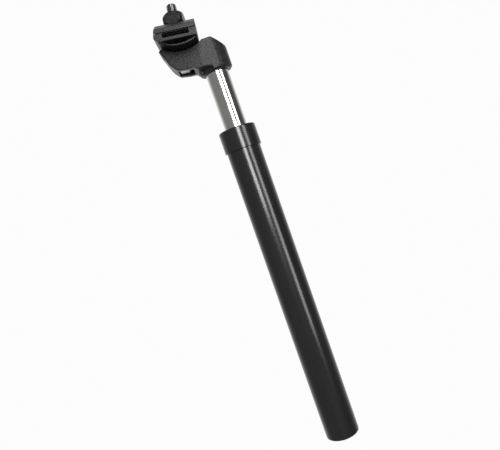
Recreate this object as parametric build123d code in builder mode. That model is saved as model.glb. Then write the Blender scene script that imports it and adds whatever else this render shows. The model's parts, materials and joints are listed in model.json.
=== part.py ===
"""Suspension seatpost: a sprung telescopic seatpost with a set-back head and a single-bolt rail clamp.

Frame: the post's axis is Z, with the tube's bottom end at z = 0. +X points to the bike's front, so the head
sets the saddle back towards -X. Y runs across the bike. Millimetres.
"""
import math
import os

from build123d import *

# ---- outer tube ----
TUBE_R = 13.6            # 27.2 mm seat-tube size
TUBE_BORE_R = 11.2
TUBE_SHOULDER_Z = 241.7  # the collar sits on this shoulder
NECK_R = 12.85           # threaded neck above the shoulder
NECK_TOP_Z = 252.7

# ---- collar, wiper and guide sleeve ----
COLLAR_R = 14.85
COLLAR_TOP_Z = 258.8
COLLAR_BORE_R = 12.95
SLEEVE_FLANGE_TOP_Z = 254.8
WIPER_R = 11.3
WIPER_TOP_Z = 259.3
SLEEVE_R = 11.15
RUN_GAP = 0.05           # radial running clearance of sliding fits

# ---- sliding shaft ----
SHAFT_R = 9.25
SHAFT_BORE_R = 6.75
SHAFT_TOP_Z = 322.0

# ---- preload and spring stack, from the bottom up ----
PLUG_BOTTOM_Z = 6.0
PLUG_TOP_Z = 24.0
PLUG_R = 11.1
SEAT_TOP_Z = 28.0
SPRING_LENGTH = 100.0
SPRING_WIRE_R = 1.5
SPRING_COIL_R = 8.5
SPRING_COILS = 11.0
CAP_THICK = 2.0
PISTON_LENGTH = 13.0
TOP_OUT_LENGTH = 8.0
BUMPER_TOP_Z = 68.0

# ---- guide keys ----
KEY_COUNT = 3
KEY_WIDTH = 4.0
KEY_LENGTH = 20.0
KEY_TOP_Z = 212.0
KEY_IN_R = 8.25
KEY_OUT_R = 10.6

# ---- head ----
BOSS_R = 13.3
BOSS_BOTTOM_Z = 304.3
HEAD_TOP_Z = 328.8
ARM_HALF_Y = 12.8
SEAT_X = -16.1           # centre of the curved, serrated saddle-clamp seat
SEAT_Z = 353.0
SEAT_R = 27.3
ARM_BACK_HALF_Y = 10.6   # the arm narrows to this at its back end
RELIEF_R = 11.4          # turned relief low on the boss
RELIEF_TOP_Z = 308.1
POCKET_ROOF_R = 33.0     # roof of the bolt pocket, concentric with the seat
POCKET_HALF_Y = 7.2
SLOT_HALF_Y = 4.4

# ---- rail clamp ----
CLAMP_TILT = 7.2         # nose-down angle of the rails from square to the post
CLAMP_X = -19.9          # bolt axis where it crosses the rail plane
CLAMP_Z = 336.4
RAIL_HALF_Y = 22.0
RAIL_R = 3.5
CLAMP_HALF_Y = 27.0
CLAMP_BACK = -15.2
CLAMP_FRONT = 15.4
CRADLE_R = 27.0
CRADLE_HALF_Y = 24.0
CRADLE_WALL_BOTTOM = -5.9
HOLLOW_LENGTH = 23.0     # hollow middle of both clamps, round the bolt
HOLLOW_HALF_Y = 15.5
HOLLOW_ROOF = 5.0
WINDOW_R = 25.8
PAD_TOP = 10.9
BOLT_R = 4.0
BOLT_TOP = 28.6
NUT_ACROSS_FLATS = 15.4
NUT_CORNER_R = 9.6
NUT_BOTTOM = 12.0
NUT_TOP = 22.4
NUT_TURN = -7.6          # how far a flat is turned from square to the bike's side

tilt = math.radians(CLAMP_TILT)
along = (math.cos(tilt), 0, -math.sin(tilt))
upward = (math.sin(tilt), 0, math.cos(tilt))
clamp_origin = (CLAMP_X, 0, CLAMP_Z)
side_plane = Plane(origin=(0, 0, 0), x_dir=(1, 0, 0), z_dir=(0, -1, 0))
clamp_side = Plane(origin=clamp_origin, x_dir=along, z_dir=(0, -1, 0))
clamp_end = Plane(origin=clamp_origin, x_dir=(0, 1, 0), z_dir=along)
clamp_up = Plane(origin=clamp_origin, x_dir=along, z_dir=upward)

# seat centre seen in the clamp's own frame
seat_dx = SEAT_X - CLAMP_X
seat_dz = SEAT_Z - CLAMP_Z
seat_a = seat_dx * math.cos(tilt) - seat_dz * math.sin(tilt)
seat_n = seat_dx * math.sin(tilt) + seat_dz * math.cos(tilt)

spring_top_z = SEAT_TOP_Z + SPRING_LENGTH
piston_bottom_z = spring_top_z + CAP_THICK
piston_top_z = piston_bottom_z + PISTON_LENGTH
sleeve_bottom_z = piston_top_z + TOP_OUT_LENGTH + 0.1


def upright(z):
    """Plane square to the post's axis at height z."""
    return Plane.XY.offset(z)


def arc_point(radius, angle):
    """Point on a circle about the seat centre, angle in degrees from straight down, positive to the front."""
    a = math.radians(angle)
    return (SEAT_X + radius * math.sin(a), SEAT_Z - radius * math.cos(a))


def clamp_arc_point(radius, a):
    """Point in the clamp's frame, below the seat centre on a circle about it, at a along the rails."""
    return (a, seat_n - math.sqrt(radius ** 2 - (a - seat_a) ** 2))


# ---- outer tube: plain tube with a turned-down threaded neck ----
with BuildPart() as outer_tube:
    with BuildSketch(upright(0)):
        Circle(TUBE_R)
    extrude(amount=TUBE_SHOULDER_Z)
    with BuildSketch(upright(TUBE_SHOULDER_Z)):
        Circle(NECK_R)
    extrude(amount=NECK_TOP_Z - TUBE_SHOULDER_Z)
    chamfer(outer_tube.faces().sort_by(Axis.Z)[-1].edges(), 0.5)
    with BuildSketch(upright(0)):
        Circle(TUBE_BORE_R)
    extrude(amount=NECK_TOP_Z, mode=Mode.SUBTRACT)

# ---- lock collar: screws on the neck and holds the guide sleeve down ----
with BuildPart() as lock_collar:
    with BuildSketch(upright(TUBE_SHOULDER_Z)):
        Circle(COLLAR_R)
    extrude(amount=COLLAR_TOP_Z - TUBE_SHOULDER_Z)
    fillet(lock_collar.faces().sort_by(Axis.Z)[-1].edges(), 1.2)
    chamfer(lock_collar.faces().sort_by(Axis.Z)[0].edges(), 0.25)
    with BuildSketch(upright(TUBE_SHOULDER_Z)):
        Circle(COLLAR_BORE_R)
    extrude(amount=SLEEVE_FLANGE_TOP_Z + 0.05 - TUBE_SHOULDER_Z, mode=Mode.SUBTRACT)
    with BuildSketch(upright(TUBE_SHOULDER_Z)):
        Circle(WIPER_R + 0.05)
    extrude(amount=COLLAR_TOP_Z - TUBE_SHOULDER_Z, mode=Mode.SUBTRACT)

# ---- wiper seal: rubber ring in the collar's mouth, with a raised lip on the shaft ----
with BuildPart() as wiper_seal:
    with BuildSketch(Plane.XZ):
        with BuildLine():
            Polyline(
                (SHAFT_R + RUN_GAP, SLEEVE_FLANGE_TOP_Z + 0.1),
                (WIPER_R, SLEEVE_FLANGE_TOP_Z + 0.1),
                (WIPER_R, COLLAR_TOP_Z - 0.3),
                (SHAFT_R + 1.1, COLLAR_TOP_Z - 0.2),
                (SHAFT_R + 0.5, WIPER_TOP_Z),
                (SHAFT_R + RUN_GAP, WIPER_TOP_Z),
                close=True,
            )
        make_face()
    revolve(axis=Axis.Z)

# ---- guide sleeve: long polymer bushing, flanged at the top, with slots for the guide keys ----
with BuildPart() as guide_sleeve:
    with BuildSketch(upright(sleeve_bottom_z)):
        Circle(SLEEVE_R)
    extrude(amount=NECK_TOP_Z + 0.05 - sleeve_bottom_z)
    with BuildSketch(upright(NECK_TOP_Z + 0.05)):
        Circle(NECK_R - 0.3)
    extrude(amount=SLEEVE_FLANGE_TOP_Z - NECK_TOP_Z - 0.05)
    with BuildSketch(upright(sleeve_bottom_z)):
        Circle(SHAFT_R + RUN_GAP)
    extrude(amount=SLEEVE_FLANGE_TOP_Z - sleeve_bottom_z, mode=Mode.SUBTRACT)
    with BuildSketch(upright(sleeve_bottom_z)):
        with PolarLocations(SLEEVE_R - 0.6, KEY_COUNT, start_angle=90):
            Rectangle(5.0, KEY_WIDTH + 0.2)
    extrude(amount=KEY_TOP_Z + 1.0 - sleeve_bottom_z, mode=Mode.SUBTRACT)

# ---- guide keys: brass keys let into the shaft, running in the sleeve's slots ----
with BuildPart() as guide_keys:
    with BuildSketch(upright(KEY_TOP_Z - KEY_LENGTH)):
        with PolarLocations((KEY_IN_R + KEY_OUT_R) / 2, KEY_COUNT, start_angle=90):
            Rectangle(KEY_OUT_R - KEY_IN_R, KEY_WIDTH)
    extrude(amount=KEY_LENGTH)

# ---- shaft: hard-chromed tube, fixed in the head ----
with BuildPart() as shaft:
    with BuildSketch(upright(piston_top_z + 0.05)):
        Circle(SHAFT_R)
        Circle(SHAFT_BORE_R, mode=Mode.SUBTRACT)
    extrude(amount=SHAFT_TOP_Z - piston_top_z - 0.05)
    with BuildSketch(upright(KEY_TOP_Z - KEY_LENGTH - 0.1)):
        with PolarLocations(KEY_IN_R + 1.0, KEY_COUNT, start_angle=90):
            Rectangle(2.1, KEY_WIDTH + 0.1)
    extrude(amount=KEY_LENGTH + 0.2, mode=Mode.SUBTRACT)

# ---- piston: closes the shaft's lower end and centres it in the tube ----
with BuildPart() as piston:
    with BuildSketch(Plane.XZ):
        with BuildLine():
            Polyline(
                (0, piston_bottom_z - 9.0),
                (5.6, piston_bottom_z - 9.0),
                (6.2, piston_bottom_z - 8.0),
                (6.2, piston_bottom_z),
                (10.8, piston_bottom_z),
                (10.8, piston_bottom_z + 3.0),
                (9.8, piston_bottom_z + 3.0),
                (9.8, piston_top_z - 3.0),
                (10.8, piston_top_z - 3.0),
                (10.8, piston_top_z),
                (SHAFT_BORE_R - 0.05, piston_top_z),
                (SHAFT_BORE_R - 0.05, piston_top_z + 14.0),
                (SHAFT_BORE_R - 0.8, piston_top_z + 15.0),
                (0, piston_top_z + 15.0),
                close=True,
            )
        make_face()
    revolve(axis=Axis.Z)

# ---- glide band: slippery ring in the piston's groove ----
with BuildPart() as glide_band:
    with BuildSketch(upright(piston_bottom_z + 3.05)):
        Circle(TUBE_BORE_R - RUN_GAP)
        Circle(9.85, mode=Mode.SUBTRACT)
    extrude(amount=PISTON_LENGTH - 6.1)

# ---- top-out ring: rubber buffer between the piston and the sleeve ----
with BuildPart() as top_out_ring:
    with BuildSketch(upright(piston_top_z + 0.05)):
        Circle(10.9)
        Circle(SHAFT_R + 0.05, mode=Mode.SUBTRACT)
    extrude(amount=TOP_OUT_LENGTH - 0.05)
    fillet(top_out_ring.edges().filter_by(GeomType.CIRCLE), 0.5)

# ---- spring cap: steel washer between the spring and the piston ----
with BuildPart() as spring_cap:
    with BuildSketch(upright(spring_top_z + 0.05)):
        Circle(10.6)
        Circle(6.3, mode=Mode.SUBTRACT)
    extrude(amount=CAP_THICK - 0.1)

# ---- main spring: round-wire compression coil ----
with BuildPart() as main_spring:
    with BuildLine():
        coil_line = Helix(
            pitch=(SPRING_LENGTH - 2 * SPRING_WIRE_R - 0.1) / SPRING_COILS,
            height=SPRING_LENGTH - 2 * SPRING_WIRE_R - 0.1,
            radius=SPRING_COIL_R,
            center=(0, 0, SEAT_TOP_Z + SPRING_WIRE_R + 0.05),
        )
    with BuildSketch(Plane(origin=coil_line @ 0, z_dir=coil_line % 0)):
        Circle(SPRING_WIRE_R - 0.05)
    sweep(path=coil_line, is_frenet=True)

# ---- spring seat: cup that carries the spring and the bumper rod ----
with BuildPart() as spring_seat:
    with BuildSketch(Plane.XZ):
        with BuildLine():
            Polyline(
                (0, PLUG_TOP_Z + 0.1),
                (10.9, PLUG_TOP_Z + 0.1),
                (10.9, SEAT_TOP_Z),
                (6.6, SEAT_TOP_Z),
                (6.4, SEAT_TOP_Z + 6.0),
                (5.5, SEAT_TOP_Z + 6.0),
                (5.5, SEAT_TOP_Z - 1.5),
                (0, SEAT_TOP_Z - 1.5),
                close=True,
            )
        make_face()
    revolve(axis=Axis.Z)

# ---- bumper rod: elastomer that cushions the end of the travel ----
with BuildPart() as bumper_rod:
    with BuildSketch(upright(SEAT_TOP_Z - 1.45)):
        Circle(5.4)
    extrude(amount=BUMPER_TOP_Z - SEAT_TOP_Z + 1.45)
    fillet(bumper_rod.faces().sort_by(Axis.Z)[-1].edges(), 1.5)

# ---- preload plug: screwed into the tube's bottom, hex socket facing down ----
with BuildPart() as preload_plug:
    with BuildSketch(upright(PLUG_BOTTOM_Z)):
        Circle(PLUG_R)
    extrude(amount=PLUG_TOP_Z - PLUG_BOTTOM_Z)
    chamfer(preload_plug.edges().filter_by(GeomType.CIRCLE), 0.6)
    with BuildSketch(upright(PLUG_TOP_Z - 5.0)):
        Circle(PLUG_R)
        Circle(PLUG_R - 1.3, mode=Mode.SUBTRACT)
    extrude(amount=2.2, mode=Mode.SUBTRACT)
    with BuildSketch(upright(PLUG_BOTTOM_Z)):
        RegularPolygon(radius=4.0, side_count=6, major_radius=False)
    extrude(amount=10.0, mode=Mode.SUBTRACT)

# ---- plug seal: rubber ring in the plug's groove ----
with BuildPart() as plug_seal:
    with BuildSketch(upright(PLUG_TOP_Z - 4.95)):
        Circle(PLUG_R + 0.05)
        Circle(PLUG_R - 1.25, mode=Mode.SUBTRACT)
    extrude(amount=2.1)
    fillet(plug_seal.edges().filter_by(GeomType.CIRCLE), 0.5)

# ---- head: forged block with a shaft boss, a set-back arm, the clamp seat and the bolt pocket ----
seat_back = arc_point(SEAT_R, -40.5)
seat_low = arc_point(SEAT_R, -9.8)
seat_front = arc_point(SEAT_R, math.degrees(math.acos((SEAT_Z - HEAD_TOP_Z) / SEAT_R)))
with BuildPart() as head:
    with BuildSketch(side_plane):
        with BuildLine():
            Polyline(
                seat_front,
                (4.2, HEAD_TOP_Z),
                (4.2, 308.9),
                (-13.4, 308.9),
                (-14.6, 310.8),
                (-20.0, 311.3),
                (-27.6, 312.9),
            )
            Spline(
                (-27.6, 312.9),
                (-29.0, 314.2),
                (-31.0, 316.6),
                (-33.7, 322.3),
                (-37.0, 330.9),
            )
            Polyline((-37.0, 330.9), seat_back)
            ThreePointArc(seat_back, seat_low, seat_front)
        make_face()
    extrude(amount=ARM_HALF_Y, both=True)
    with BuildSketch(upright(BOSS_BOTTOM_Z)):
        Circle(BOSS_R)
        Rectangle(40, 2 * ARM_HALF_Y, mode=Mode.INTERSECT)
    extrude(amount=HEAD_TOP_Z - BOSS_BOTTOM_Z)
    # the seat's arc carried on through the boss
    with BuildSketch(side_plane):
        with Locations((SEAT_X, SEAT_Z)):
            Circle(SEAT_R)
    extrude(amount=20, both=True, mode=Mode.SUBTRACT)
    # slanted front top of the boss
    with BuildSketch(side_plane):
        Polygon(
            (3.7, HEAD_TOP_Z),
            (20.0, HEAD_TOP_Z - 13.9),
            (20.0, HEAD_TOP_Z + 5),
            (3.7, HEAD_TOP_Z + 5),
            align=None,
        )
    extrude(amount=20, both=True, mode=Mode.SUBTRACT)
    # rounded lower rim of the boss
    with BuildSketch(Plane.XZ):
        with BuildLine():
            Polyline((BOSS_R + 1, BOSS_BOTTOM_Z - 1), (BOSS_R + 1, 307.2), (BOSS_R, 307.2))
            ThreePointArc((BOSS_R, 307.2), (12.4, 305.0), (10.4, BOSS_BOTTOM_Z))
            Polyline((10.4, BOSS_BOTTOM_Z), (10.4, BOSS_BOTTOM_Z - 1), (BOSS_R + 1, BOSS_BOTTOM_Z - 1))
        make_face()
    revolve(axis=Axis.Z, mode=Mode.SUBTRACT)
    # turned relief low on each side of the boss
    for side in (-1, 1):
        with BuildSketch(upright(BOSS_BOTTOM_Z - 1)):
            Polygon(
                (-2.0, side * 6.0),
                (-2.0, side * 20.0),
                (-12.4, side * 20.0),
                (-12.4, side * 6.0),
                align=None,
            )
            Circle(RELIEF_R, mode=Mode.SUBTRACT)
        extrude(amount=RELIEF_TOP_Z - BOSS_BOTTOM_Z + 1, mode=Mode.SUBTRACT)
    # the arm narrows towards its back end
    for side in (-1, 1):
        with BuildSketch(upright(BOSS_BOTTOM_Z - 1)):
            Polygon(
                (-8.0, side * ARM_HALF_Y),
                (-40.0, side * ARM_BACK_HALF_Y),
                (-40.0, side * 20.0),
                (-8.0, side * 20.0),
                align=None,
            )
        extrude(amount=60.0, mode=Mode.SUBTRACT)
    # shaft bore
    with BuildSketch(upright(BOSS_BOTTOM_Z)):
        Circle(SHAFT_R + 0.05)
    extrude(amount=SHAFT_TOP_Z + 0.1 - BOSS_BOTTOM_Z, mode=Mode.SUBTRACT)
    # bolt pocket, open underneath
    with BuildSketch(side_plane):
        with BuildLine():
            Polyline(
                arc_point(POCKET_ROOF_R, 1.2),
                (-16.2, 305.0),
                (-25.0, 305.0),
                (-27.2, 312.2),
                (-29.4, 316.9),
                arc_point(POCKET_ROOF_R, -25.8),
            )
            ThreePointArc(
                arc_point(POCKET_ROOF_R, -25.8), arc_point(POCKET_ROOF_R, -10), arc_point(POCKET_ROOF_R, 1.2)
            )
        make_face()
    extrude(amount=POCKET_HALF_Y, both=True, mode=Mode.SUBTRACT)
    # slot for the bolt's shank, long enough for the clamp's whole tilt
    with BuildSketch(side_plane):
        Polygon(
            arc_point(SEAT_R - 3, -24.2),
            arc_point(POCKET_ROOF_R + 1, -20.2),
            arc_point(POCKET_ROOF_R + 1, 1.6),
            arc_point(SEAT_R - 3, 3.4),
            align=None,
        )
    extrude(amount=SLOT_HALF_Y, both=True, mode=Mode.SUBTRACT)

# ---- rocker washer: curved above to roll in the pocket's roof, flat below for the bolt head ----
roof_n = seat_n - POCKET_ROOF_R - 0.15
with BuildPart() as rocker_washer:
    with BuildSketch(clamp_side):
        with BuildLine():
            Line((-4.2, roof_n - 2.0), (4.2, roof_n - 2.0))
            Line((4.2, roof_n - 2.0), clamp_arc_point(POCKET_ROOF_R + 0.15, 4.2))
            ThreePointArc(
                clamp_arc_point(POCKET_ROOF_R + 0.15, 4.2),
                clamp_arc_point(POCKET_ROOF_R + 0.15, 0),
                clamp_arc_point(POCKET_ROOF_R + 0.15, -4.2),
            )
            Line(clamp_arc_point(POCKET_ROOF_R + 0.15, -4.2), (-4.2, roof_n - 2.0))
        make_face()
    extrude(amount=POCKET_HALF_Y - 0.3, both=True)
    with BuildSketch(clamp_up.offset(roof_n - 5)):
        Circle(BOLT_R + 0.1)
    extrude(amount=10, mode=Mode.SUBTRACT)

# ---- lower cradle: rail bed on top, window in the middle, curved base on the head's seat ----
with BuildPart() as lower_cradle:
    with BuildSketch(clamp_side):
        with BuildLine():
            Polyline(
                clamp_arc_point(CRADLE_R, CLAMP_FRONT),
                (CLAMP_FRONT, -0.2),
                (CLAMP_BACK - 0.6, -0.2),
                clamp_arc_point(CRADLE_R, CLAMP_BACK - 1.1),
            )
            ThreePointArc(
                clamp_arc_point(CRADLE_R, CLAMP_BACK - 1.1),
                clamp_arc_point(CRADLE_R, seat_a),
                clamp_arc_point(CRADLE_R, CLAMP_FRONT),
            )
        make_face()
    extrude(amount=CLAMP_HALF_Y, both=True)
    # the base is narrower than the rail bed
    for side in (-1, 1):
        with BuildSketch(clamp_end):
            Polygon(
                (side * CRADLE_HALF_Y, -20.0),
                (side * CRADLE_HALF_Y, CRADLE_WALL_BOTTOM),
                (side * (CLAMP_HALF_Y + 1), CRADLE_WALL_BOTTOM),
                (side * (CLAMP_HALF_Y + 1), -20.0),
                align=None,
            )
        extrude(amount=30, both=True, mode=Mode.SUBTRACT)
    # window between the rail bed and the base, right through from side to side
    with BuildSketch(clamp_side):
        with Locations((0.9, seat_n)):
            Circle(WINDOW_R)
        with Locations((0, CRADLE_WALL_BOTTOM + 50)):
            Rectangle(100, 100, mode=Mode.SUBTRACT)
    extrude(amount=CLAMP_HALF_Y + 1, both=True, mode=Mode.SUBTRACT)
    # hollow middle, between the two rail beds
    with BuildSketch(clamp_up.offset(CRADLE_WALL_BOTTOM - 0.1)):
        with Locations((0.9, 0)):
            RectangleRounded(HOLLOW_LENGTH, 2 * HOLLOW_HALF_Y, 1.5)
    extrude(amount=10.0, mode=Mode.SUBTRACT)
    # slot through each outer wall into the rail groove
    for side in (-1, 1):
        with BuildSketch(clamp_side.offset(side * RAIL_HALF_Y)):
            with Locations((0.2, -2.15)):
                RectangleRounded(19.6, 3.0, 0.6)
        extrude(amount=side * 8.0, mode=Mode.SUBTRACT)
    # half-round rail grooves and the bolt hole
    with BuildSketch(clamp_end):
        with Locations((RAIL_HALF_Y, 0), (-RAIL_HALF_Y, 0)):
            Circle(RAIL_R)
    extrude(amount=30, both=True, mode=Mode.SUBTRACT)
    with BuildSketch(clamp_up):
        Circle(BOLT_R + 0.3)
    extrude(amount=20, both=True, mode=Mode.SUBTRACT)

# ---- upper clamp: humped plate over the rails with a pad for the nut ----
with BuildPart() as upper_clamp:
    with BuildSketch(clamp_end.offset(CLAMP_BACK - 0.5)):
        with BuildLine():
            Polyline((-CLAMP_HALF_Y, 3.3), (-CLAMP_HALF_Y, 0.2), (CLAMP_HALF_Y, 0.2), (CLAMP_HALF_Y, 3.3))
            Line((CLAMP_HALF_Y, 3.3), (16.0, 9.3))
            Polyline((16.0, 9.3), (11.5, 10.6), (8.0, PAD_TOP), (-8.0, PAD_TOP), (-11.5, 10.6), (-16.0, 9.3))
            Line((-16.0, 9.3), (-CLAMP_HALF_Y, 3.3))
        make_face()
    extrude(amount=CLAMP_FRONT - CLAMP_BACK + 0.5)
    # the back end slopes forward to its top
    with BuildSketch(clamp_side):
        Polygon(
            (CLAMP_BACK - 0.5, 0.2),
            (CLAMP_BACK + 0.6, 5.0),
            (CLAMP_BACK + 0.6, PAD_TOP + 1),
            (CLAMP_BACK - 2, PAD_TOP + 1),
            (CLAMP_BACK - 2, 0.2),
            align=None,
        )
    extrude(amount=CLAMP_HALF_Y + 1, both=True, mode=Mode.SUBTRACT)
    with BuildSketch(clamp_up.offset(HOLLOW_ROOF)):
        Circle(8.6)
    extrude(amount=PAD_TOP - HOLLOW_ROOF)
    with BuildSketch(clamp_up.offset(-1.0)):
        with Locations((0.9, 0)):
            RectangleRounded(HOLLOW_LENGTH, 2 * HOLLOW_HALF_Y, 1.5)
    extrude(amount=HOLLOW_ROOF + 1.0, mode=Mode.SUBTRACT)
    with BuildSketch(clamp_end):
        with Locations((RAIL_HALF_Y, 0), (-RAIL_HALF_Y, 0)):
            Circle(RAIL_R)
    extrude(amount=30, both=True, mode=Mode.SUBTRACT)
    with BuildSketch(clamp_up):
        Circle(BOLT_R + 0.3)
    extrude(amount=PAD_TOP + 1, mode=Mode.SUBTRACT)

# ---- clamp bolt: hammer head held in the pocket, shank up through the clamp ----
head_top_n = roof_n - 2.05
with BuildPart() as clamp_bolt:
    with BuildSketch(clamp_up.offset(head_top_n - 4.9)):
        Rectangle(8.4, 2 * POCKET_HALF_Y - 0.6)
    extrude(amount=4.9)
    bolt_underside = clamp_bolt.faces().sort_by(Axis(clamp_origin, upward))[0]
    chamfer(bolt_underside.edges(), 1.2)
    with BuildSketch(clamp_up.offset(head_top_n)):
        Circle(BOLT_R)
    extrude(amount=BOLT_TOP - head_top_n)
    chamfer(clamp_bolt.faces().sort_by(Axis(clamp_origin, upward))[-1].edges(), 0.7)

# ---- nut washer ----
with BuildPart() as nut_washer:
    with BuildSketch(clamp_up.offset(PAD_TOP + 0.02)):
        Circle(7.8)
        Circle(BOLT_R + 0.2, mode=Mode.SUBTRACT)
    extrude(amount=NUT_BOTTOM - PAD_TOP - 0.04)

# ---- clamp nut: tall square nut with turned corners and a domed top ----
with BuildPart() as clamp_nut:
    with BuildSketch(clamp_up.offset(NUT_BOTTOM)):
        Rectangle(NUT_ACROSS_FLATS, NUT_ACROSS_FLATS, rotation=NUT_TURN)
    extrude(amount=NUT_TOP - NUT_BOTTOM)
    # turned outline about the bolt axis
    with BuildSketch(clamp_side):
        with BuildLine():
            Polyline(
                (0, NUT_TOP),
                (0, NUT_BOTTOM),
                (NUT_ACROSS_FLATS / 2, NUT_BOTTOM),
                (NUT_CORNER_R, NUT_BOTTOM + 2.0),
                (NUT_CORNER_R, NUT_TOP - 4.6),
            )
            Spline(
                (NUT_CORNER_R, NUT_TOP - 4.6),
                (8.7, NUT_TOP - 2.9),
                (7.3, NUT_TOP - 1.2),
                (5.4, NUT_TOP),
            )
            Line((5.4, NUT_TOP), (0, NUT_TOP))
        make_face()
    revolve(axis=Axis(clamp_origin, upward), mode=Mode.INTERSECT)
    with BuildSketch(clamp_up.offset(NUT_BOTTOM)):
        Circle(BOLT_R + 0.05)
    extrude(amount=NUT_TOP - NUT_BOTTOM, mode=Mode.SUBTRACT)

# ---- names and files ----
os.makedirs("parts", exist_ok=True)
pieces = {
    "outer_tube": outer_tube,
    "lock_collar": lock_collar,
    "wiper_seal": wiper_seal,
    "guide_sleeve": guide_sleeve,
    "guide_keys": guide_keys,
    "shaft": shaft,
    "piston": piston,
    "glide_band": glide_band,
    "top_out_ring": top_out_ring,
    "spring_cap": spring_cap,
    "main_spring": main_spring,
    "spring_seat": spring_seat,
    "bumper_rod": bumper_rod,
    "preload_plug": preload_plug,
    "plug_seal": plug_seal,
    "head": head,
    "rocker_washer": rocker_washer,
    "lower_cradle": lower_cradle,
    "upper_clamp": upper_clamp,
    "clamp_bolt": clamp_bolt,
    "nut_washer": nut_washer,
    "clamp_nut": clamp_nut,
}
for piece_name, piece in pieces.items():
    piece.part.label = piece_name
    export_step(piece.part, f"parts/{piece_name}.step")
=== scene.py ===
"""Looks of the suspension seatpost: studio, materials and the detailed pieces that stand for CAD nodes.

Metres, in the CAD frame: +Z up the post from the tube's bottom end, +X to the bike's front, Y across.
"""
import json
import math

import bmesh
import bpy
from mathutils import Matrix, Vector


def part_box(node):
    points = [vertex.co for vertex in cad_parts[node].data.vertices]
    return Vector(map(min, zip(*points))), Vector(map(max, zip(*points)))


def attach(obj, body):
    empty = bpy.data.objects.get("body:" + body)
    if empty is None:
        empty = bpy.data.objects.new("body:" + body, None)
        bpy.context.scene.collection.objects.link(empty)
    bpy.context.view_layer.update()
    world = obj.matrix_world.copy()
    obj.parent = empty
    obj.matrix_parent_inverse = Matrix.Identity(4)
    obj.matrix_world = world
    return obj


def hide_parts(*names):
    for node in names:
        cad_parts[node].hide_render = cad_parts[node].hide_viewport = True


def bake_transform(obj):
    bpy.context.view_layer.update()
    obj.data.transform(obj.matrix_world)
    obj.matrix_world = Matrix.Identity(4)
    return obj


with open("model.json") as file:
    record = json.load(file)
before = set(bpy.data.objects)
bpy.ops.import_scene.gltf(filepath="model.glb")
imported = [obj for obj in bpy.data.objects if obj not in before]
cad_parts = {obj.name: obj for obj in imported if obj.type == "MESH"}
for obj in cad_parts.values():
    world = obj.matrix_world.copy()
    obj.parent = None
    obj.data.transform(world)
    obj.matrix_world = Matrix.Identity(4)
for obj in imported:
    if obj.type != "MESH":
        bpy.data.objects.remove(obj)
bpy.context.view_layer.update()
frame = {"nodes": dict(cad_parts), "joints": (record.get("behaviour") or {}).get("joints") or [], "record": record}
scene = bpy.context.scene
MM = 0.001

# ---- the clamp's own frame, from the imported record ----
mounts = {m["name"]: m for m in frame["record"]["mounts"]}
joints = {j["name"]: j for j in frame["joints"]}
rail_dir = Vector(mounts["rail_groove_right"]["axis"]).normalized()
across = Vector((0, 1, 0))
bolt_dir = Vector(joints["nut_turn"]["axis"]).normalized()
clamp_place = Vector(joints["nut_turn"]["pos_m"])
seat_centre = Vector(joints["clamp_tilt"]["pos_m"])
TOOTH_STEP = 3.15        # degrees: 1.5 mm of arc on the clamp's seat
STUDIO_WHITE = 0.98


# ------------------------------------------------------------------ materials

def new_material(name):
    """Empty node material with a Principled shader; returns material, nodes, links and the shader."""
    material = bpy.data.materials.new(name)
    material.use_nodes = True
    nodes = material.node_tree.nodes
    links = material.node_tree.links
    shader = nodes["Principled BSDF"]
    return material, nodes, links, shader


def texture_space(nodes, links, scale=(1, 1, 1)):
    """Object coordinates, stretched by scale."""
    coordinates = nodes.new("ShaderNodeTexCoord")
    mapping = nodes.new("ShaderNodeMapping")
    mapping.inputs["Scale"].default_value = scale
    links.new(coordinates.outputs["Object"], mapping.inputs["Vector"])
    return mapping.outputs["Vector"]


def noise(nodes, links, vector, scale, detail=4.0, roughness=0.55):
    """Noise factor at the given scale, in waves per metre."""
    texture = nodes.new("ShaderNodeTexNoise")
    texture.inputs["Scale"].default_value = scale
    texture.inputs["Detail"].default_value = detail
    texture.inputs["Roughness"].default_value = roughness
    links.new(vector, texture.inputs["Vector"])
    return texture.outputs["Fac"]


def spread(nodes, links, factor, low, high, start=0.3, end=0.7):
    """Maps a factor between start and end onto low to high."""
    ranged = nodes.new("ShaderNodeMapRange")
    ranged.inputs["From Min"].default_value = start
    ranged.inputs["From Max"].default_value = end
    ranged.inputs["To Min"].default_value = low
    ranged.inputs["To Max"].default_value = high
    links.new(factor, ranged.inputs["Value"])
    return ranged.outputs["Result"]


def tint(nodes, links, factor, dark, light, start=0.3, end=0.7):
    """Colour between dark and light by a factor."""
    ramp = nodes.new("ShaderNodeValToRGB")
    ramp.color_ramp.elements[0].position = start
    ramp.color_ramp.elements[0].color = (*dark, 1)
    ramp.color_ramp.elements[1].position = end
    ramp.color_ramp.elements[1].color = (*light, 1)
    links.new(factor, ramp.inputs["Fac"])
    return ramp.outputs["Color"]


def bump(nodes, links, height, distance):
    """Bump normal from a height."""
    node = nodes.new("ShaderNodeBump")
    node.inputs["Distance"].default_value = distance
    links.new(height, node.inputs["Height"])
    return node.outputs["Normal"]


def metal_material(name, dark, light, roughness, metallic, grain, grain_scale, depth, stretch=(1, 1, 1),
                   specular=0.5, coat=0.0, coat_roughness=0.2):
    """A metal or lacquer with colour mottling, uneven roughness and a fine surface texture."""
    material, nodes, links, shader = new_material(name)
    space = texture_space(nodes, links, stretch)
    mottle = noise(nodes, links, space, grain, 5.0)
    fine = noise(nodes, links, space, grain_scale, 3.0, 0.6)
    links.new(tint(nodes, links, mottle, dark, light), shader.inputs["Base Color"])
    links.new(spread(nodes, links, mottle, roughness[0], roughness[1]), shader.inputs["Roughness"])
    links.new(bump(nodes, links, fine, depth), shader.inputs["Normal"])
    shader.inputs["Metallic"].default_value = metallic
    shader.inputs["Specular IOR Level"].default_value = specular
    shader.inputs["Coat Weight"].default_value = coat
    shader.inputs["Coat Roughness"].default_value = coat_roughness
    return material


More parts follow.
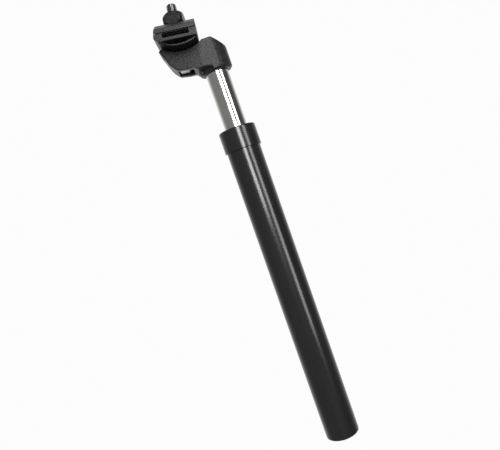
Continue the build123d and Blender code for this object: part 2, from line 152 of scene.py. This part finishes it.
anodised = metal_material(
    "anodised_black", (0.010, 0.010, 0.011), (0.015, 0.015, 0.016), (0.17, 0.23), 0.0,
    grain=120, grain_scale=2600, depth=0.00001, stretch=(1, 1, 0.08), specular=0.75,
)
chrome = metal_material(
    "hard_chrome", (0.76, 0.765, 0.745), (0.82, 0.825, 0.805), (0.11, 0.16), 1.0,
    grain=160, grain_scale=5200, depth=0.000002, stretch=(1, 1, 1.6),
)
forged = metal_material(
    "forged_black", (0.008, 0.0085, 0.0085), (0.024, 0.0245, 0.0245), (0.30, 0.44), 0.0,
    grain=260, grain_scale=1300, depth=0.00008, specular=0.25,
)
clamp_black = metal_material(
    "clamp_black", (0.011, 0.011, 0.0105), (0.022, 0.0225, 0.0215), (0.3, 0.42), 0.0,
    grain=300, grain_scale=2200, depth=0.00003, specular=0.2,
)
zinc = metal_material(
    "bright_zinc", (0.26, 0.275, 0.265), (0.46, 0.48, 0.47), (0.22, 0.36), 1.0,
    grain=500, grain_scale=4200, depth=0.00001,
)
black_oxide = metal_material(
    "black_oxide", (0.008, 0.009, 0.0085), (0.02, 0.021, 0.0205), (0.26, 0.38), 0.0,
    grain=420, grain_scale=2600, depth=0.00003, specular=0.25,
)
rubber = metal_material(
    "seal_rubber", (0.012, 0.012, 0.012), (0.02, 0.02, 0.02), (0.6, 0.75), 0.0,
    grain=420, grain_scale=3800, depth=0.00003, specular=0.35,
)
sleeve_plastic = metal_material(
    "sleeve_acetal", (0.05, 0.05, 0.05), (0.07, 0.07, 0.07), (0.4, 0.5), 0.0,
    grain=200, grain_scale=3000, depth=0.00001,
)
white_plastic = metal_material(
    "natural_acetal", (0.7, 0.69, 0.64), (0.78, 0.77, 0.72), (0.35, 0.45), 0.0,
    grain=200, grain_scale=3000, depth=0.00001,
)
band_plastic = metal_material(
    "glide_band", (0.07, 0.2, 0.16), (0.1, 0.26, 0.2), (0.4, 0.5), 0.0,
    grain=260, grain_scale=3000, depth=0.00001,
)
brass = metal_material(
    "key_brass", (0.55, 0.4, 0.16), (0.68, 0.5, 0.22), (0.22, 0.34), 1.0,
    grain=420, grain_scale=4200, depth=0.00001, stretch=(1, 1, 0.2),
)
spring_steel = metal_material(
    "spring_steel", (0.16, 0.16, 0.17), (0.26, 0.26, 0.28), (0.25, 0.38), 1.0,
    grain=420, grain_scale=4200, depth=0.00001,
)
elastomer = metal_material(
    "elastomer", (0.42, 0.1, 0.03), (0.5, 0.14, 0.04), (0.45, 0.6), 0.0,
    grain=260, grain_scale=3000, depth=0.00003,
)
floor_white, floor_nodes, floor_links, floor_shader = new_material("studio_white")
floor_shader.inputs["Base Color"].default_value = (0.0, 0.0, 0.0, 1)
floor_shader.inputs["Specular IOR Level"].default_value = 0.0
floor_shader.inputs["Emission Color"].default_value = (1, 1, 1, 1)
floor_shader.inputs["Emission Strength"].default_value = STUDIO_WHITE

node_looks = {
    "outer_tube": anodised, "lock_collar": anodised, "preload_plug": anodised,
    "wiper_seal": rubber, "plug_seal": rubber, "top_out_ring": rubber,
    "guide_sleeve": sleeve_plastic, "piston": white_plastic, "glide_band": band_plastic,
    "guide_keys": brass, "shaft": chrome, "main_spring": spring_steel, "bumper_rod": elastomer,
    "spring_cap": zinc, "spring_seat": zinc, "rocker_washer": zinc, "nut_washer": zinc,
    "clamp_bolt": zinc, "clamp_nut": black_oxide, "head": forged,
    "lower_cradle": clamp_black, "upper_clamp": clamp_black,
}
for node_name, look in node_looks.items():
    mesh = frame["nodes"][node_name].data
    mesh.materials.clear()
    mesh.materials.append(look)


# ------------------------------------------------------------------ mesh helpers

def add_object(name, mesh, look, body, stands_for, smooth_angle=35):
    """Links a mesh as a piece that rides on a body and stands for a CAD node."""
    piece = bpy.data.objects.new(name, mesh)
    scene.collection.objects.link(piece)
    mesh.materials.clear()
    mesh.materials.append(look)
    shade_by_angle(mesh, smooth_angle)
    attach(piece, body)
    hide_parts(stands_for)
    return piece


def shade_by_angle(mesh, angle):
    """Smooth shading, with edges sharper than the angle kept crisp."""
    limit = math.radians(angle)
    work = bmesh.new()
    work.from_mesh(mesh)
    for face in work.faces:
        face.smooth = True
    for edge in work.edges:
        edge.smooth = len(edge.link_faces) == 2 and edge.calc_face_angle(0) < limit
    work.to_mesh(mesh)
    work.free()


def lathe(name, profile, segments=160):
    """Mesh made by turning a closed (radius, height) profile about Z, in millimetres."""
    work = bmesh.new()
    rings = []
    for radius, height in profile:
        ring = []
        for step in range(segments):
            turn = 2 * math.pi * step / segments
            place = Vector((radius * math.cos(turn), radius * math.sin(turn), height)) * MM
            ring.append(work.verts.new(place))
        rings.append(ring)
    count = len(rings)
    for i in range(count):
        lower, upper = rings[i], rings[(i + 1) % count]
        for step in range(segments):
            after = (step + 1) % segments
            work.faces.new((lower[step], lower[after], upper[after], upper[step]))
    bmesh.ops.recalc_face_normals(work, faces=work.faces)
    mesh = bpy.data.meshes.new(name)
    work.to_mesh(mesh)
    work.free()
    return mesh


def rounded(corner, before, after, radius, steps=5):
    """Points of a rounded corner of a profile between two straight runs."""
    corner, before, after = Vector(corner), Vector(before), Vector(after)
    start = corner + (before - corner).normalized() * radius
    finish = corner + (after - corner).normalized() * radius
    points = []
    for step in range(steps + 1):
        t = step / steps
        points.append(tuple(start.lerp(corner, t).lerp(corner.lerp(finish, t), t)))
    return points


def round_profile(corners):
    """Profile from (radius, height, rounding) corners."""
    points = []
    for i, (radius, height, rounding) in enumerate(corners):
        if rounding:
            before = corners[i - 1][:2]
            after = corners[(i + 1) % len(corners)][:2]
            points += rounded((radius, height), before, after, rounding)
        else:
            points.append((radius, height))
    return points


def modified_copy(node, modifiers):
    """Copy of a CAD node's mesh with modifiers applied; each is (type, {setting: value})."""
    source = bpy.data.objects.new("work", frame["nodes"][node].data.copy())
    scene.collection.objects.link(source)
    weld = bmesh.new()
    weld.from_mesh(source.data)
    bmesh.ops.remove_doubles(weld, verts=weld.verts, dist=0.000002)
    weld.to_mesh(source.data)
    weld.free()
    for kind, settings in modifiers:
        modifier = source.modifiers.new(kind, kind)
        for key, value in settings.items():
            setattr(modifier, key, value)
    depsgraph = bpy.context.evaluated_depsgraph_get()
    mesh = bpy.data.meshes.new_from_object(source.evaluated_get(depsgraph))
    bpy.data.objects.remove(source)
    mesh.name = node + "_detail"
    return mesh


def seat_rake(name, radius, depth, start, finish, half_width, outward):
    """Row of V-shaped cutters on an arc about the seat's centre, angles in degrees from straight down."""
    work = bmesh.new()
    count = max(1, round(abs(finish - start) / TOOTH_STEP))
    tip = radius + depth if outward else radius - depth
    base = radius - 0.1 if outward else radius + 0.1
    half_angle = math.radians(TOOTH_STEP * 0.44)
    for tooth in range(count):
        middle = math.radians(start + (tooth + 0.5) * TOOTH_STEP)
        corners = [(base, middle - half_angle), (base, middle + half_angle), (tip, middle)]
        ends = []
        for side in (-1, 1):
            end = []
            for distance, angle in corners:
                place = seat_centre + MM * distance * Vector((math.sin(angle), 0, -math.cos(angle)))
                place.y = side * half_width * MM
                end.append(work.verts.new(place))
            ends.append(end)
        work.faces.new(ends[0])
        work.faces.new(list(reversed(ends[1])))
        for i in range(3):
            j = (i + 1) % 3
            work.faces.new((ends[0][i], ends[1][i], ends[1][j], ends[0][j]))
    bmesh.ops.recalc_face_normals(work, faces=work.faces)
    mesh = bpy.data.meshes.new(name)
    work.to_mesh(mesh)
    work.free()
    cutter = bpy.data.objects.new(name, mesh)
    scene.collection.objects.link(cutter)
    return cutter


def cut(mesh, cutter):
    """Mesh with the cutter object taken away from it; the cutter is removed."""
    target = bpy.data.objects.new("work", mesh)
    scene.collection.objects.link(target)
    modifier = target.modifiers.new("cut", "BOOLEAN")
    modifier.operation = "DIFFERENCE"
    modifier.solver = "EXACT"
    modifier.object = cutter
    depsgraph = bpy.context.evaluated_depsgraph_get()
    result = bpy.data.meshes.new_from_object(target.evaluated_get(depsgraph))
    bpy.data.objects.remove(target)
    bpy.data.objects.remove(cutter)
    return result


# ------------------------------------------------------------------ pieces

def top_mm(node):
    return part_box(node)[1].z / MM


def bottom_mm(node):
    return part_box(node)[0].z / MM


def radius_mm(node):
    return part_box(node)[1].x / MM


def make_tube():
    """Drawn tube: plain outside, eased end, threaded neck under the collar."""
    outside = radius_mm("outer_tube")
    bore = 11.2
    neck = 12.85
    shoulder = bottom_mm("lock_collar")
    top = top_mm("outer_tube")
    profile = round_profile([(bore, 0.0, 0.35), (outside, 0.0, 0.45), (outside, shoulder, 0.15)])
    ridge = shoulder + 1.0
    while ridge < top - 1.4:
        profile += [(neck - 0.5, ridge), (neck, ridge + 0.45)]
        profile += [(neck, ridge + 0.55), (neck - 0.5, ridge + 1.0)]
        ridge += 1.0
    profile += [(neck - 0.5, top), (bore, top)]
    add_object("tube_shell", lathe("tube_shell", profile, 192), anodised, "tube", "outer_tube")


def make_collar():
    """Lock collar with a rounded top rim and a crisp lower edge."""
    outside = radius_mm("lock_collar")
    low, high = bottom_mm("lock_collar"), top_mm("lock_collar")
    flange_top = bottom_mm("wiper_seal")
    profile = round_profile([
        (12.95, low, 0.0), (outside, low, 0.3), (outside, high, 1.3), (11.35, high, 0.35),
        (11.35, flange_top, 0.0), (12.95, flange_top, 0.0),
    ])
    add_object("collar_ring", lathe("collar_ring", profile, 192), anodised, "tube", "lock_collar")


def cast_surface(voxel, smoothing, strength, grain):
    """Modifiers that turn a sharp CAD shape into a casting: rounded edges and slightly uneven skin."""
    texture = bpy.data.textures.new("cast_skin", "CLOUDS")
    texture.noise_scale = grain
    return [
        ("REMESH", {"mode": "VOXEL", "voxel_size": voxel}),
        ("SMOOTH", {"factor": 0.5, "iterations": smoothing}),
        ("DISPLACE", {"texture": texture, "strength": strength, "mid_level": 0.5}),
    ]


def make_head():
    """Forged head with rounded edges, uneven skin and the seat's serrations."""
    mesh = modified_copy("head", cast_surface(0.00036, 5, 0.00012, 0.0016))
    rake = seat_rake("head_rake", 27.3, 0.6, -40.0, 27.0, 13.5, outward=True)
    add_object("head_casting", cut(mesh, rake), forged, "strut", "head", 40)


def make_cradle():
    """Lower rail clamp with its serrated base."""
    mesh = modified_copy("lower_cradle", cast_surface(0.0003, 3, 0.00006, 0.0012))
    rake = seat_rake("cradle_rake", 27.0, 0.7, -41.5, 24.8, 28.0, outward=False)
    add_object("cradle_casting", cut(mesh, rake), clamp_black, "cradle", "lower_cradle", 40)


def make_upper_clamp():
    mesh = modified_copy("upper_clamp", cast_surface(0.0003, 3, 0.00005, 0.0012))
    add_object("upper_clamp_casting", mesh, clamp_black, "top_clamp", "upper_clamp", 40)


def make_nut():
    mesh = modified_copy("clamp_nut", [
        ("REMESH", {"mode": "VOXEL", "voxel_size": 0.00015}),
        ("SMOOTH", {"factor": 0.5, "iterations": 2}),
    ])
    add_object("nut_body", mesh, black_oxide, "nut", "clamp_nut", 40)


def make_bolt():
    """M8 bolt: hammer head, short plain shank and a rolled thread up to a bevelled end."""
    shank_low = -18.26
    head_height = 4.9
    thread_low = -12.0
    core, crest, pitch = 3.4, 3.98, 1.25
    turn_steps, height_step = 48, 0.156
    end = 28.6
    work = bmesh.new()
    place = Matrix((
        (rail_dir.x, across.x, bolt_dir.x, clamp_place.x),
        (rail_dir.y, across.y, bolt_dir.y, clamp_place.y),
        (rail_dir.z, across.z, bolt_dir.z, clamp_place.z),
        (0, 0, 0, 1),
    ))
    heights = [shank_low, thread_low - 0.3]
    height = thread_low
    while height < end:
        heights.append(height)
        height += height_step
    heights.append(end)
    rings = []
    for height in heights:
        ring = []
        for step in range(turn_steps):
            turn = 2 * math.pi * step / turn_steps
            radius = 4.0
            if height >= thread_low:
                phase = (height / pitch - step / turn_steps) % 1.0
                flank = min(1.0, max(0.0, abs(phase - 0.5) * 2 * 1.35 - 0.15))
                radius = crest - (crest - core) * flank
            radius = min(radius, 3.1 + max(0.0, end - height) * 0.9)
            spot = Vector((radius * math.cos(turn), radius * math.sin(turn), height)) * MM
            ring.append(work.verts.new(place @ spot))
        rings.append(ring)
    for lower, upper in zip(rings, rings[1:]):
        for step in range(turn_steps):
            after = (step + 1) % turn_steps
            work.faces.new((lower[step], lower[after], upper[after], upper[step]))
    work.faces.new(list(reversed(rings[0])))
    work.faces.new(rings[-1])
    bmesh.ops.recalc_face_normals(work, faces=work.faces)
    shank = bpy.data.meshes.new("bolt_body")
    work.to_mesh(shank)
    work.free()
    head = bmesh.new()
    bmesh.ops.create_cube(head, size=1)
    half_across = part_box("clamp_bolt")[1].y
    for vertex in head.verts:
        local = Vector((vertex.co.x * 8.4 * MM, vertex.co.y * 2 * half_across, 0))
        local.z = (shank_low - head_height / 2 + vertex.co.z * head_height) * MM
        vertex.co = place @ local
    bmesh.ops.bevel(head, geom=head.edges, offset=0.0009, segments=3, affect="EDGES")
    head.from_mesh(shank)
    joined = bpy.data.meshes.new("bolt_body")
    head.to_mesh(joined)
    head.free()
    add_object("bolt_body", joined, zinc, "cradle", "clamp_bolt", 30)


def make_spring():
    """Coil spring between its seat in the tube and its cap on the strut, copied from its CAD node."""
    mesh = frame["nodes"]["main_spring"].data.copy()
    piece = bpy.data.objects.new("coil_spring", mesh)
    scene.collection.objects.link(piece)
    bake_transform(piece)
    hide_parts("main_spring")


make_spring()
make_tube()
make_collar()
make_head()
make_cradle()
make_upper_clamp()
make_nut()
make_bolt()

# ------------------------------------------------------------------ studio

camera_data = bpy.data.cameras.new("camera")
camera_data.lens = 35.3
camera_data.sensor_width = 36
camera_data.clip_start = 0.01
camera = bpy.data.objects.new("camera", camera_data)
scene.collection.objects.link(camera)
CAMERA_PLACE = Vector((-0.0151, -0.3885, 0.2048))
CAMERA_TILT = math.radians(-3.09)
CAMERA_ROLL = math.radians(19.42)
camera.matrix_world = (
    Matrix.Translation(CAMERA_PLACE)
    @ Matrix.Rotation(CAMERA_TILT, 4, "X")
    @ Matrix.Rotation(CAMERA_ROLL, 4, "Y")
    @ Matrix.Rotation(math.pi / 2, 4, "X")
)
scene.camera = camera
scene.view_settings.view_transform = "Standard"


def upright_panel(name, azimuth, distance, width, bottom, top, power):
    """Upright soft panel, at an azimuth from the photograph's viewpoint (positive to the right)."""
    light = bpy.data.lights.new(name, "AREA")
    light.shape = "RECTANGLE"
    light.size = width
    light.size_y = top - bottom
    light.energy = power
    panel = bpy.data.objects.new(name, light)
    scene.collection.objects.link(panel)
    turn = math.radians(azimuth)
    panel.location = (distance * math.sin(turn), -distance * math.cos(turn), (bottom + top) / 2)
    panel.rotation_euler = (math.pi / 2, 0, turn)
    panel.visible_camera = False


upright_panel("panel_front", 6.0, 1.1, 0.32, 0.13, 1.35, 13)
upright_panel("panel_right", 41, 1.1, 0.29, -0.32, 1.2, 7)


def blended(nodes, links, factor, first, second):
    """Colour between two by a factor; each is a colour or a socket."""
    mix = nodes.new("ShaderNodeMix")
    mix.data_type = "RGBA"
    links.new(factor, mix.inputs["Factor"])
    for socket, value in ((mix.inputs["A"], first), (mix.inputs["B"], second)):
        if isinstance(value, tuple):
            socket.default_value = (*value, 1)
        else:
            links.new(value, socket)
    return mix.outputs["Result"]


def make_world():
    """Studio surroundings: dim in front, a dark flag to the right, white behind; plain white to the eye."""
    world = bpy.data.worlds.new("studio")
    world.use_nodes = True
    scene.world = world
    nodes = world.node_tree.nodes
    links = world.node_tree.links
    direction = nodes.new("ShaderNodeTexCoord")
    split = nodes.new("ShaderNodeSeparateXYZ")
    links.new(direction.outputs["Generated"], split.inputs["Vector"])
    side = spread(nodes, links, split.outputs["X"], 0.0, 1.0, start=0.2, end=0.8)
    front = blended(nodes, links, side, (0.215, 0.218, 0.210), (0.07, 0.07, 0.068))
    behind = spread(nodes, links, split.outputs["Y"], 0.0, 1.0, start=-0.02, end=0.97)
    power = nodes.new("ShaderNodeMath")
    power.operation = "POWER"
    power.inputs[1].default_value = 1.6
    links.new(behind, power.inputs[0])
    level = blended(nodes, links, power.outputs["Value"], front, (1.15, 1.15, 1.13))
    above = spread(nodes, links, split.outputs["Z"], 0.0, 1.0, start=0.68, end=0.9)
    level = blended(nodes, links, above, level, (0.05, 0.05, 0.05))
    surroundings = nodes["Background"]
    links.new(level, surroundings.inputs["Color"])
    white = nodes.new("ShaderNodeBackground")
    white.inputs["Color"].default_value = (STUDIO_WHITE, STUDIO_WHITE, STUDIO_WHITE, 1)
    sight = nodes.new("ShaderNodeLightPath")
    blend = nodes.new("ShaderNodeMixShader")
    links.new(sight.outputs["Is Camera Ray"], blend.inputs["Fac"])
    links.new(surroundings.outputs["Background"], blend.inputs[1])
    links.new(white.outputs["Background"], blend.inputs[2])
    links.new(blend.outputs["Shader"], nodes["World Output"].inputs["Surface"])


def make_floor():
    """Pale, evenly lit floor below the post; it throws no light back on it."""
    work = bmesh.new()
    places = ((-4, -4, -0.5), (4, -4, -0.5), (4, 4, -0.5), (-4, 4, -0.5))
    work.faces.new([work.verts.new(place) for place in places])
    mesh = bpy.data.meshes.new("studio_floor")
    work.to_mesh(mesh)
    work.free()
    mesh.materials.append(floor_white)
    floor = bpy.data.objects.new("studio_floor", mesh)
    scene.collection.objects.link(floor)
    floor.visible_diffuse = False
    floor.visible_glossy = False
    floor.visible_shadow = False


make_world()
make_floor()
